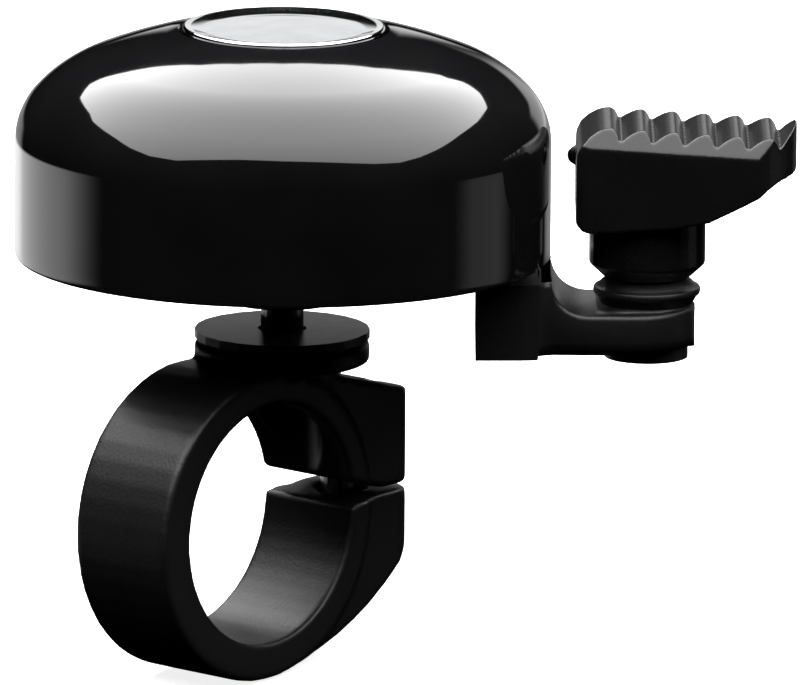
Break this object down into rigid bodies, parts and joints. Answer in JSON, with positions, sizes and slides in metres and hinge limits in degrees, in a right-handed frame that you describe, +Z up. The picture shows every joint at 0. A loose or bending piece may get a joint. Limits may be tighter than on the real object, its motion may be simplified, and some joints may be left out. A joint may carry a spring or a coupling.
{
  "type": "bicycle bell",
  "caption": "Round bicycle bell with a sprung thumb lever on a side arm, turning on a screw-tightened handlebar clamp.",
  "frame": {"origin": "centre of the handlebar clamp's bore, half way along its width", "axes": "+X from the bore towards the clamp's lugs, +Y along the handlebar, +Z up along the dome's axis, away from the handlebar"},
  "size_m": [0.0602, 0.0641, 0.0603],
  "materials": {
    "gloss_black_paint": "gloss baked enamel on brass",
    "chrome_plate": "bright chrome plate",
    "black_nylon": "fine-grained moulded nylon",
    "zinc_plated_steel": "bright zinc plate",
    "spring_steel": "bare spring steel",
    "blackened_steel": "blackened steel",
    "aluminium_tube": "cut tube, plain",
    "black_rubber": "plain",
    "white_acetal": "smooth"
  },
  "bodies": {
    "clamp": {"clamp_strap": "black_nylon", "clamp_nut": "zinc_plated_steel", "wave_washer": "spring_steel"},
    "bell": {"base": "black_nylon", "base_washer": "zinc_plated_steel", "base_lock_washer": "spring_steel", "base_nut": "zinc_plated_steel", "center_bolt": "zinc_plated_steel", "spacer_tube": "aluminium_tube", "dome_washer": "black_rubber", "dome": "gloss_black_paint", "cap_nut": "chrome_plate", "friction_washer": "white_acetal", "spring_retainer": "zinc_plated_steel", "hammer_spring": "spring_steel"},
    "lever": {"thumb_lever": "black_nylon", "striker_pin": "blackened_steel", "spring_core_pin": "zinc_plated_steel"},
    "screw_washer": {"clamp_washer": "zinc_plated_steel"},
    "screw": {"clamp_screw": "zinc_plated_steel"}
  },
  "joints": [
    {"name": "bell_swivel", "type": "hinge", "parent": "clamp", "child": "bell", "pos_m": [0.0075, 0, 0.02385], "axis": [0, 0, 1], "continuous": true},
    {"name": "lever_tilt", "type": "hinge", "parent": "bell", "child": "lever", "pos_m": [0.02981, -0.02566, 0.01689], "axis": [0.7547, 0.6561, 0], "range_deg": [-4.5, 18], "stiffness_Nm_per_rad": 0.3, "deforming": ["hammer_spring"]},
    {"name": "clamp_screw_travel", "type": "slide", "parent": "clamp", "child": "screw_washer", "axis": [0, 0, 1], "range_m": [-0.003, 0]},
    {"name": "clamp_screw_turn", "type": "hinge", "parent": "screw_washer", "child": "screw", "pos_m": [0.016, 0, 0], "axis": [0, 0, 1], "range_deg": [-1543, 0]}
  ],
  "couplings": [
    {"joint": "clamp_screw_turn", "follows": "clamp_screw_travel", "rad_per_m": 8976}
  ]
}
